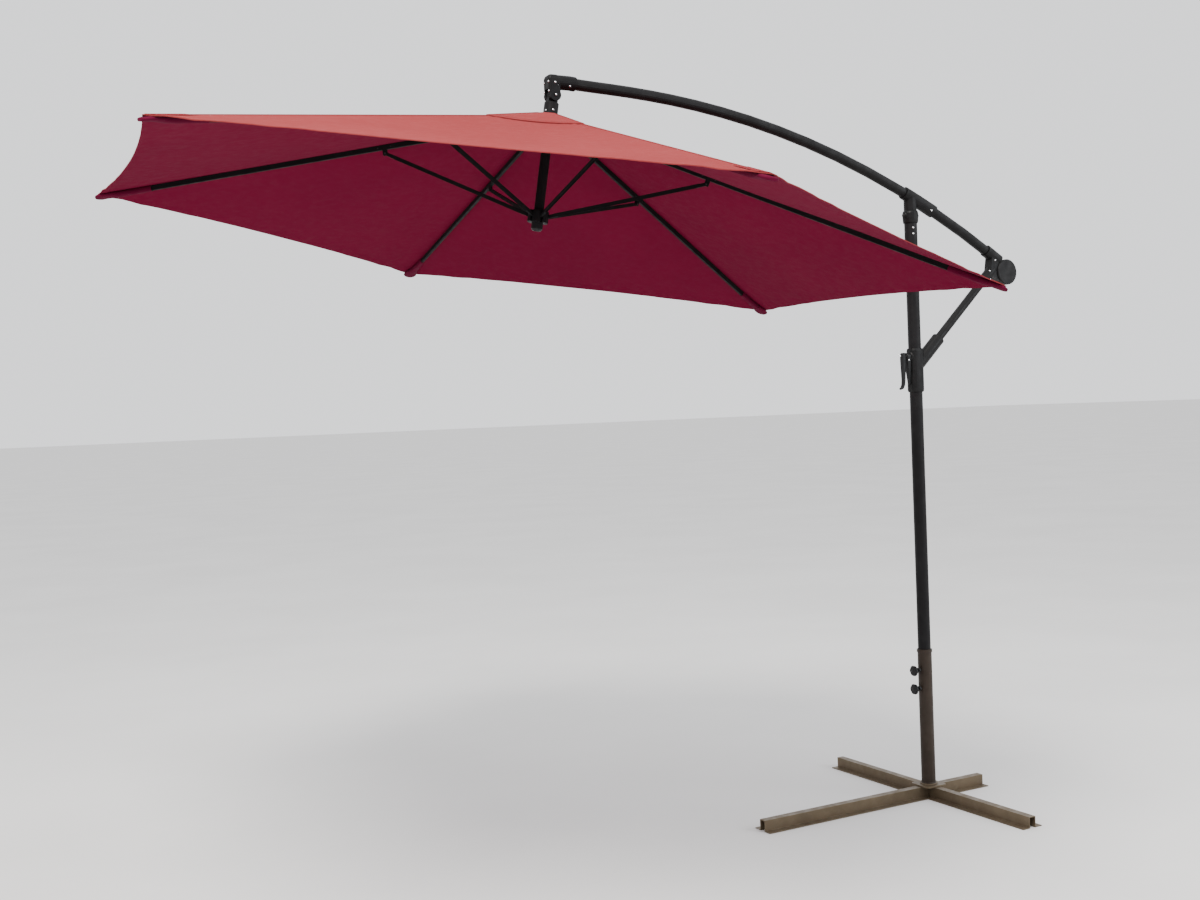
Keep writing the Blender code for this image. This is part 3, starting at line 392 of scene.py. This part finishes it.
def seat(node, near, outward):
    """Drop a point on to a CAD node's surface, looking in along the outward direction."""
    if node not in _skins:
        mesh = NODES[node].data
        place = NODES[node].matrix_world
        _skins[node] = BVHTree.FromPolygons([place @ v.co for v in mesh.vertices],
                                            [tuple(f.vertices) for f in mesh.polygons])
    outward = Vector(outward).normalized()
    spot = _skins[node].ray_cast(Vector(near) + outward * SEAT_REACH, -outward, 2 * SEAT_REACH)[0]
    return (spot if spot is not None else Vector(near)), outward


def fixings(name, body, heads, mat, radius=0.0032, height=0.0020, kind=dome):
    """Rivet or screw heads seated on CAD nodes, all on one body."""
    spots = [seat(node, near, outward) for node, near, outward in heads]
    obj = turned(name, spots, kind(radius, height), mat)
    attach(obj, body)


def lofted(name, rings, mats, closed=False):
    """Skin equal rings into one closed body, end to end or round in a loop."""
    count = len(rings[0])
    verts = [p for ring in rings for p in ring]
    faces = []
    pairs = [(i, i + 1) for i in range(len(rings) - 1)]
    if closed:
        pairs.append((len(rings) - 1, 0))
    for low, high in pairs:
        for i in range(count):
            j = (i + 1) % count
            faces.append((low * count + i, low * count + j, high * count + j, high * count + i))
    if not closed:
        faces.append(tuple(reversed(range(count))))
        faces.append(tuple((len(rings) - 1) * count + i for i in range(count)))
    return new_object(name, verts, faces, mats)


# ------------------------------------------------------------------ canopy
UP = -Vector(JOINTS["runner_slide"]["axis"]).normalized()
SLOPE = math.radians(15.07)     # ribs fall this much from the hub to the hem
CANOPY_R = 1.50                 # fabric corner, from the canopy axis
VENT_R = 0.300                  # vent corner, from the canopy axis
MAIN_INNER = 0.100              # where the main panels begin, along the rib
VENT_INNER = -0.001
VENT_HUB_HEIGHT = 0.0205        # vent cloth over the ribs, at the hub
PIVOTS = [Vector(JOINTS["rib_fold_%d" % k]["pos_m"]) for k in range(1, 7)]
SIDES = [Vector(JOINTS["rib_fold_%d" % k]["axis"]).normalized() for k in range(1, 7)]
CENTRE = sum(PIVOTS, Vector()) / 6.0
PIVOT_R = (PIVOTS[0] - CENTRE).length
ALONG, NORMAL = [], []
for _side in SIDES:
    _radial = _side.cross(UP).normalized()
    ALONG.append(_radial * math.cos(SLOPE) - UP * math.sin(SLOPE))
    NORMAL.append(_radial * math.sin(SLOPE) + UP * math.cos(SLOPE))
RIB_HALF_H = 0.008
CLOTH = 0.0009
TIP_AT = (CANOPY_R - PIVOT_R) / math.cos(SLOPE)
HEM_DIP = 0.070        # the plain CAD panel's hem curves in by this much
HEM_TENSION = 0.52     # share of that curve which the visible cloth has
DIP_AT = HEM_TENSION * HEM_DIP / (math.cos(math.pi / 6) * math.cos(SLOPE))


def on_rib(k, along, side, height):
    """Point along, beside and above rib k, measured from its hinge."""
    k = k % 6
    return PIVOTS[k] + ALONG[k] * along + SIDES[k] * side + NORMAL[k] * height


def ease(x):
    """Smooth step from 0 to 1."""
    x = max(0.0, min(1.0, x))
    return x * x * (3.0 - 2.0 * x)


class Gore:
    """One half panel: from the top of a rib to halfway to the next rib.

    A share runs from 0 at the rib to 1 halfway; way is 1 or -1, the side of the rib.
    """

    def __init__(self, k, way, inner, outer, dip, heights, sag, crease, hang=0.0):
        self.k, self.way = k, way
        self.inner, self.outer, self.dip = inner, outer, dip
        self.heights, self.sag, self.crease, self.hang = heights, sag, crease, hang

    def reach(self, share):
        """Distance of the hem along the rib direction."""
        return self.outer - self.dip * (1.0 - (1.0 - share) ** 2)

    def flat(self, u, share):
        """Point in the flat half panel; u runs from the hub to the hem."""
        low, high = self.heights
        ends = []
        for at, height in ((self.inner, low), (self.reach(share), high)):
            here = on_rib(self.k, at, 0.0, height)
            there = on_rib(self.k + self.way, at, 0.0, height)
            ends.append(here + (there - here) * 0.5 * share)
        return ends[0].lerp(ends[1], u)

    def drop(self, u, share):
        """How far the cloth lies under the flat panel."""
        belly = math.sin(math.pi * min(1.0, 0.08 + 0.86 * u)) * (1.0 - (1.0 - share) ** 2)
        fall = self.sag * belly + self.hang * u * u * (1.0 - (1.0 - share) ** 2)
        near_tip = ease((u - 0.55) / 0.45)
        near_hub = ease((0.35 - u) / 0.35)
        quiet = (1.0 - share) ** 2 * ease(share / 0.10)
        wave = math.sin(share * 30.0 - u * 9.0 + 1.3 * self.k) * 0.6
        wave += math.sin(share * 47.0 + u * 5.0 + 2.1 * self.k * self.way) * 0.4
        fall += self.crease * quiet * wave * (0.35 + near_tip + 0.6 * near_hub)
        spot = self.flat(u, share) * 3.1
        fall += self.crease * 0.8 * noise.noise(spot) * ease(share / 0.12)
        return max(fall, -0.0004 if share < 0.05 else -0.004)

    def point(self, u, share):
        """Point in the middle of the cloth's thickness, with its sag and creases."""
        down = -(NORMAL[self.k] + NORMAL[(self.k + self.way) % 6]).normalized()
        lift = down * self.drop(u, share)
        return self.flat(u, share) + lift


HEM_ROWS = (0.0, 0.0025, 0.0085, 0.0100, 0.0150, 0.0165)   # extra rows, shares from the hem
HEM_BAND = 0.0250                # width of the turned hem
HEM_HALF = 0.0008                # how much it thickens each side
STITCH_BAND = (0.0150, 0.0200)   # stitch row, from the hem
AREA_STEPS = 20


def half_panel(name, gore, steps_u, steps_v, replaced):
    """Closed thin cloth: top and underside skins, with a turned hem."""
    tops, unders, uvs, stitch = [], [], [], []
    edge_rows = [1.0 - d for d in HEM_ROWS]
    us = sorted(set([i / steps_u for i in range(steps_u)] + edge_rows))
    shares = [(j / steps_v) ** 1.15 for j in range(steps_v + 1)]
    normal = NORMAL[gore.k]
    for u in us:
        for share in shares:
            spot = gore.point(u, share)
            along = gore.inner + (gore.reach(share) - gore.inner) * u
            away = gore.reach(share) - along
            fold = HEM_HALF if away < HEM_BAND else 0.0
            tops.append(spot + normal * (CLOTH / 2 + fold))
            unders.append(spot - normal * (CLOTH / 2 + fold))
            across = (spot - on_rib(gore.k, 0, 0, 0)).dot(SIDES[gore.k])
            uvs.append((along, across))
            stitch.append(1.0 if STITCH_BAND[0] < away < STITCH_BAND[1] else 0.0)
    cols = len(shares)
    rows = len(us)
    verts = tops + unders
    shift = len(tops)
    faces, mats = [], []
    for i in range(rows - 1):
        for j in range(cols - 1):
            a, b = i * cols + j, i * cols + j + 1
            c, d = (i + 1) * cols + j + 1, (i + 1) * cols + j
            quad = (a, b, c, d) if gore.way > 0 else (a, d, c, b)
            faces.append(quad)
            mats.append(0)
            faces.append(tuple(shift + x for x in reversed(quad)))
            mats.append(1)
    rim = [i * cols for i in range(rows)]
    rim += [(rows - 1) * cols + j for j in range(1, cols)]
    rim += [i * cols + cols - 1 for i in range(rows - 2, -1, -1)]
    rim += [j for j in range(cols - 2, 0, -1)]
    for a, b in zip(rim, rim[1:] + rim[:1]):
        quad = (b, a, shift + a, shift + b)
        faces.append(quad if gore.way < 0 else tuple(reversed(quad)))
        mats.append(0)
    # Top skin and rim take the top cloth; the underside skin takes the darker underside cloth,
    # which is painted shade.
    obj = new_object(name, verts, faces, [TOP_CLOTH, SHADED_UNDER_CLOTH])
    mesh = obj.data
    for face, index in zip(mesh.polygons, mats):
        face.material_index = index
    layer = mesh.uv_layers.new(name="cloth")
    for loop in mesh.loops:
        layer.data[loop.index].uv = uvs[loop.vertex_index % shift]
    rows_made = mesh.attributes.new("stitch", "FLOAT", "POINT")
    rows_made.data.foreach_set("value", stitch + stitch)
    mesh.set_sharp_from_angle(angle=math.radians(60))
    area = 0.0
    for i in range(AREA_STEPS):
        for j in range(AREA_STEPS):
            corners = ((i, j), (i + 1, j), (i + 1, j + 1), (i, j + 1))
            p = [gore.flat(a / AREA_STEPS, b / AREA_STEPS) for a, b in corners]
            area += (p[1] - p[0]).cross(p[3] - p[0]).length / 2
            area += (p[1] - p[2]).cross(p[3] - p[2]).length / 2
    body = "rib_%d" % (gore.k + 1)
    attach(obj, body)
    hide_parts(replaced)
    return obj, area


SKIN = RIB_HALF_H + 0.0024          # main cloth over a rib's middle line
VENT_EDGE = SKIN + 0.0022           # vent cloth at its hem
VENT_AT = (VENT_R - PIVOT_R) / math.cos(SLOPE)
RIB_FOOT = 0.77                     # the middle of the hem is square to the rib at this share


def main_gore(k, way):
    """Half panel of the main canopy."""
    return Gore(k, way, MAIN_INNER, TIP_AT, DIP_AT, (SKIN, SKIN), sag=0.016, crease=0.0022)


def vent_gore(k, way):
    """Half panel of the vent."""
    return Gore(k, way, VENT_INNER, VENT_AT, 0.0085, (VENT_HUB_HEIGHT, VENT_EDGE), sag=0.0,
                crease=0.0005, hang=0.0078)


for _k in range(6):
    for _way, _hand in ((-1, "a"), (1, "b")):
        _gore = main_gore(_k, _way)
        _node = "canopy_panel_%d" % (_k + 1)
        _obj, _area = half_panel("canopy_cloth_%d%s" % (_k + 1, _hand), _gore, 36, 20, _node)
        _span = (_gore.flat(1.0, 1.0) - on_rib(_k, _gore.reach(1.0) * RIB_FOOT, 0, SKIN)).length
        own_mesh(_obj)
        _node = "vent_panel_%d" % (_k + 1)
        _obj, _area = half_panel("vent_cloth_%d%s" % (_k + 1, _hand), vent_gore(_k, _way), 14, 10,
                                 _node)
        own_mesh(_obj)


STRIP_UV = 1.4    # metres of weave along a strip, for one panel length


def strip(name, k, gores, rows, half, low, high, mat):
    """Narrow closed strip laid over a rib seam, following both half panels."""
    shares = (-1.0, -0.80, -0.66, -0.30, 0.0, 0.30, 0.66, 0.80, 1.0)
    outer, stitch, uvs = [], [], []
    for u in rows:
        ring = {}
        for level in (low, high):
            for c in shares:
                gore = gores[0] if c < 0 else gores[1]
                wide = (gore.flat(u, 1.0) - gore.flat(u, 0.0)).length
                share = min(0.5, abs(c) * half / max(wide, 0.001))
                ring[(level, c)] = gore.point(u, share) + NORMAL[k] * level
        outer.append([ring[(high, c)] for c in shares] + [ring[(low, c)] for c in reversed(shares)])
        marks = [1.0 if 0.6 < abs(c) < 0.7 else 0.0 for c in shares]
        stitch += marks + [0.0] * len(shares)
        uvs += [(u * STRIP_UV, c * half) for c in shares]
        uvs += [(u * STRIP_UV, c * half) for c in reversed(shares)]
    obj = lofted(name, outer, [mat])
    layer = obj.data.uv_layers.new(name="cloth")
    for loop in obj.data.loops:
        layer.data[loop.index].uv = uvs[loop.vertex_index]
    obj.data.attributes.new("stitch", "FLOAT", "POINT").data.foreach_set("value", stitch)
    obj.data.set_sharp_from_angle(angle=math.radians(50))
    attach(obj, "rib_%d" % (k + 1))
    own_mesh(obj)


def pocket(k):
    """Sewn sleeve that takes the rib end; its mouth is open and its tip is a rounded ear."""
    # distance back from the tip, half width, rise of the top, bottom height
    stations = ((0.190, 0.0080, 0.0, -0.0102), (0.150, 0.0090, 0.0, -0.0106),
                (0.100, 0.0112, 0.0, -0.0110), (0.066, 0.0145, -0.0002, -0.0106),
                (0.044, 0.0210, -0.0006, -0.0075), (0.022, 0.0255, -0.0014, -0.0062),
                (0.006, 0.0235, -0.0024, -0.0062), (-0.003, 0.0175, -0.0034, -0.0056),
                (-0.0075, 0.0080, -0.0044, -0.0046))
    cloth_high = SKIN - CLOTH / 2 - 0.0003

    def ring(station, inset):
        back, half, top, bottom = station
        high = cloth_high + top * 1.5 - inset
        low = bottom + inset
        middle, rise = (high + low) / 2, max((high - low) / 2, 0.0004)
        points = []
        for i in range(16):
            a = 2.0 * math.pi * i / 16
            c, z = math.cos(a), math.sin(a)
            c = math.copysign(abs(c) ** 0.7, c)
            z = math.copysign(abs(z) ** 0.7, z)
            crumple = 0.0005 * math.sin(5.0 * a + back * 160.0 + k)
            points.append(on_rib(k, TIP_AT - back, c * (half - inset) + crumple,
                                 middle + z * rise + crumple * 0.6))
        return points

    skin = 0.0010
    rings = [ring(s, 0.0) for s in reversed(stations)]
    rings += [ring(s, skin) for s in stations[:4]]
    # The pocket's dark cloth is painted shade.
    obj = lofted("rib_pocket_%d" % (k + 1), rings, [SHADED_POCKET_CLOTH])
    uv = obj.data.uv_layers.new(name="cloth")
    for loop in obj.data.loops:
        spot = obj.data.vertices[loop.vertex_index].co - PIVOTS[k]
        uv.data[loop.index].uv = (spot.dot(ALONG[k]), spot.dot(SIDES[k]) + spot.dot(NORMAL[k]))
    obj.data.set_sharp_from_angle(angle=math.radians(60))
    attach(obj, "rib_%d" % (k + 1))


for _k in range(6):
    _both = (main_gore(_k, -1), main_gore(_k, 1))
    _rows = [i / 30 for i in range(30)] + [0.9965]
    strip("seam_tape_%d" % (_k + 1), _k, _both, _rows, 0.0085, CLOTH / 2 + 0.0002,
          CLOTH / 2 + 0.0011, SEAM_CLOTH)
    _rows = [0.915 + 0.080 * i / 6 for i in range(7)]
    strip("corner_patch_%d" % (_k + 1), _k, _both, _rows, 0.034, CLOTH / 2 + 0.0012,
          CLOTH / 2 + 0.0022, CORNER_CLOTH)
    _both = (vent_gore(_k, -1), vent_gore(_k, 1))
    _rows = [0.12 + 0.86 * i / 8 for i in range(9)]
    strip("vent_tape_%d" % (_k + 1), _k, _both, _rows, 0.006, CLOTH / 2 + 0.0002,
          CLOTH / 2 + 0.0010, SEAM_CLOTH)
    pocket(_k)

# ------------------------------------------------------------------ fixings
PIN = Vector(JOINTS["canopy_tilt"]["pos_m"])
CRANK = Vector(JOINTS["crank_turn"]["pos_m"])
FRONT = Vector((0.0, -1.0, 0.0))
BACK = -FRONT
LEFT = Vector((-1.0, 0.0, 0.0))
MAST_FRONT = Vector((-0.33, -0.94, 0.0))
MAST_RIVET_Z = 2.159
RIVET_STEP = 0.022
CLAMP_Z = 2.207

_heads = []
for _out in (FRONT, BACK):
    _heads += [("elbow", PIN + Vector((0.056, 0.0, 0.038)), _out + Vector((0.0, 0.0, -0.35))),
               ("elbow", PIN + Vector((0.000, 0.0, 0.040)), _out),
               ("arm_sleeve", Vector((0.090, 0.0, 2.232)), _out + Vector((-0.15, 0.0, -0.25))),
               ("rear_housing", Vector((0.415, 0.0, 2.052)), _out + Vector((-0.3, 0.0, -0.4))),
               ("rear_housing", Vector((0.3860, 0.0, 1.9990)), _out + Vector((-0.25, 0.0, 0.25))),
               ("rear_housing", Vector((0.3800, 0.0, 1.9740)), _out + Vector((0.2, 0.0, -0.25)))]
for _side in (-0.0165, 0.0165):
    _heads += [("elbow", PIN + Vector((0.0, _side, 0.042)), LEFT),
               ("elbow", PIN + Vector((0.0, _side, 0.012)), LEFT)]
for _drop in (0.0, RIVET_STEP):
    _heads.append(("mast_upper", Vector((0.0, 0.0, MAST_RIVET_Z - _drop)), MAST_FRONT))
    _heads.append(("mast_upper", Vector((0.0, 0.0, MAST_RIVET_Z - _drop)), -MAST_FRONT))
fixings("frame_rivets", "mast", _heads, BRIGHT, 0.0034, 0.0022)

_heads = []
for _out in (Vector((-0.13, -0.99, 0.0)), Vector((-0.93, -0.36, 0.0)), Vector((0.13, 0.99, 0.0)),
             Vector((0.93, 0.36, 0.0))):
    _heads.append(("tilt_socket", PIN - UP * 0.050, _out))
fixings("socket_rivets", "canopy_head", _heads, BRIGHT, 0.0032, 0.0020)

fixings("crank_screws", "mast", [("crank_bezel", CRANK + Vector((-0.034, 0.0, 0.003)), FRONT),
                                 ("crank_bezel", CRANK + Vector((-0.034, 0.0, 0.003)), BACK)],
        BRIGHT, 0.0038, 0.0020, screw_head)
fixings("bezel_screw", "mast",
        [("crank_bezel", CRANK + Vector((0.0, -0.010, -0.013)), FRONT + LEFT * 0.3)],
        BRIGHT, 0.0030, 0.0010, screw_head)
fixings("crank_nut", "crank", [("crank_handle", CRANK, LEFT)], STEM, 0.0058, 0.0030, screw_head)
fixings("pin_caps", "mast", [("tilt_pin", PIN, FRONT), ("tilt_pin", PIN, BACK)], BRIGHT,
        0.0034, 0.0014)
fixings("clamp_bolts", "mast", [("mast_cap", Vector((0.0, 0.0, CLAMP_Z)), LEFT),
                                ("mast_cap", Vector((0.0, 0.0, CLAMP_Z)), -LEFT)],
        STEM, 0.0062, 0.0032, screw_head)
for _which in ("upper", "lower"):
    _spot = Vector(JOINTS["knob_%s_turn" % _which]["pos_m"])
    fixings("knob_cap_" + _which, "knob_" + _which, [("knob_" + _which, _spot, LEFT)], STEM,
            0.0072, 0.0012, screw_head)

LUG = (0.525, -0.020)    # strut pivot along and under a rib
for _k in range(6):
    _rib = "rib_%d" % (_k + 1)
    _spot = on_rib(_k, LUG[0], 0.0, LUG[1])
    fixings("strut_pins_%d" % (_k + 1), _rib, [(_rib, _spot, SIDES[_k]), (_rib, _spot, -SIDES[_k])],
            STEM, 0.0036, 0.0016)
    fixings("rib_rivets_%d" % (_k + 1), _rib,
            [(_rib, on_rib(_k, at, 0.0, 0.0), SIDES[_k] * way)
             for at in (LUG[0] - RIVET_STEP, LUG[0] + RIVET_STEP) for way in (1, -1)],
            STEM, 0.0022, 0.0012)


# ------------------------------------------------------------------ welds
def weld_ring(name, body, centre, radius, size, mat, count=72):
    """Rippled fillet bead lying round a tube foot."""
    rings = []
    for i in range(count):
        a = 2.0 * math.pi * i / count
        out = Vector((math.cos(a), math.sin(a), 0.0))
        swell = size * (1.0 + 0.16 * math.sin(a * 26.0) + 0.10 * noise.noise(out * 4.0))
        ring = []
        for j in range(8):
            b = 2.0 * math.pi * j / 8
            ring.append(Vector(centre) + out * (radius + swell * math.cos(b))
                        + Vector((0, 0, swell * math.sin(b))))
        rings.append(ring)
    obj = lofted(name, rings, [mat], closed=True)
    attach(obj, body)


weld_ring("foot_weld", "base", (0.0, 0.0, 0.0470), 0.0300, 0.0030, BRONZE)

# ------------------------------------------------------------------ floor and light
FLOOR_HALF, FLOOR_Z = 160.0, -0.0005
_square = ((-1, -1), (1, -1), (1, 1), (-1, 1))
floor = new_object("floor", [(x * FLOOR_HALF, y * FLOOR_HALF, FLOOR_Z) for x, y in _square],
                   [(0, 1, 2, 3)], [], smooth=False)
_p = Paint("studio floor", (0.72, 0.71, 0.70), 0.85)
_p.put("Base Color", _p.mix(_p.ramp(_p.noise(0.8, 5.0), 0.0, 1.0), (0.70, 0.69, 0.68),
                            (0.74, 0.73, 0.72)))
floor.data.materials.append(_p.mat)

world = bpy.data.worlds.new("studio")
SCENE.world = world
world.use_nodes = True
world.node_tree.nodes["Background"].inputs[0].default_value = (0.97, 0.98, 1.0, 1.0)
world.node_tree.nodes["Background"].inputs[1].default_value = 1.45


def lamp(name, place, target, size, power, colour):
    """Round area light that faces its target."""
    light = bpy.data.lights.new(name, "AREA")
    light.shape = "DISK"
    light.size = size
    light.energy = power
    light.color = colour
    obj = bpy.data.objects.new(name, light)
    SCENE.collection.objects.link(obj)
    obj.location = place
    obj.rotation_euler = (Vector(target) - Vector(place)).to_track_quat("-Z", "Y").to_euler()


lamp("key", (-4.5, -3.0, 7.5), (-0.8, 0.0, 1.6), 3.0, 900.0, (1.0, 0.97, 0.92))
lamp("fill", (3.5, -5.0, 3.5), (-0.5, 0.0, 1.2), 4.0, 220.0, (0.92, 0.96, 1.0))
